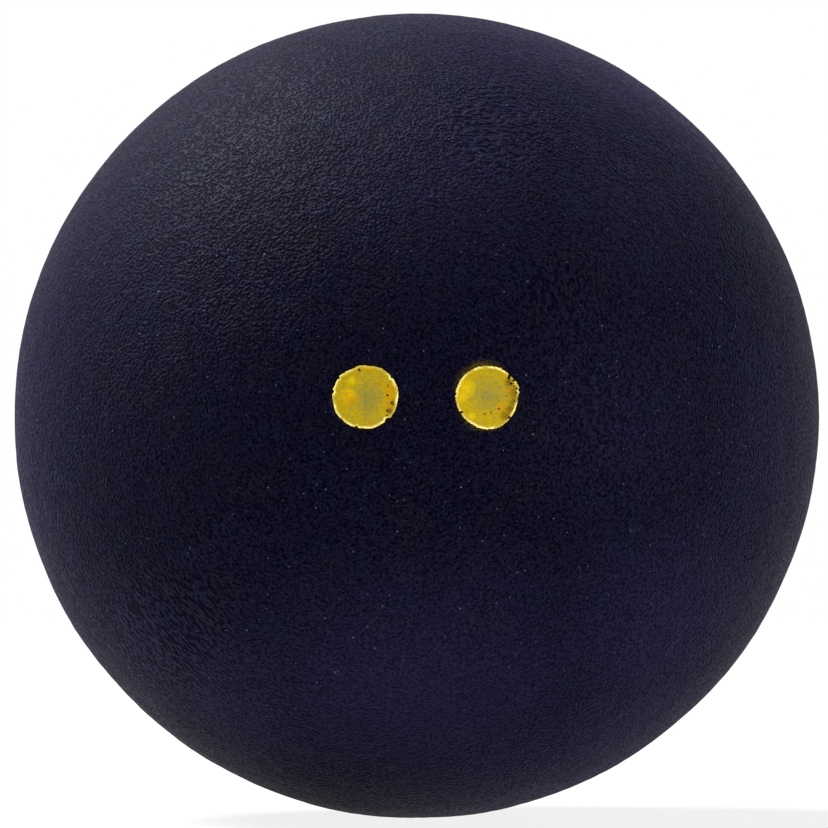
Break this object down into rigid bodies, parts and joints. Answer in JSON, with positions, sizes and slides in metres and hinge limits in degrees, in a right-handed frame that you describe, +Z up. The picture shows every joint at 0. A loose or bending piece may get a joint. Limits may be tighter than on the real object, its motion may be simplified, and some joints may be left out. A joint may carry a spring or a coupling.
{
  "type": "squash ball",
  "caption": "Hollow rubber squash ball of bonded half-shells, with small printed speed dots side by side on its front.",
  "frame": {"origin": "centre of the ball", "axes": "+Z up as in the picture, the printed dots face the front along -Y, +X to the right, and the bonded seam lies in the XZ plane"},
  "size_m": [0.04, 0.04, 0.04],
  "materials": {
    "shell_rubber": "matt, buffed to a fine leathery grain",
    "rubber_cement": "cured, matt",
    "yellow_ink": "matt printed ink with a slightly raised rim"
  },
  "bodies": {
    "root": {"front_half_shell": "shell_rubber", "rear_half_shell": "shell_rubber", "seam_bond": "rubber_cement", "left_dot": "yellow_ink", "right_dot": "yellow_ink"}
  },
  "joints": []
}
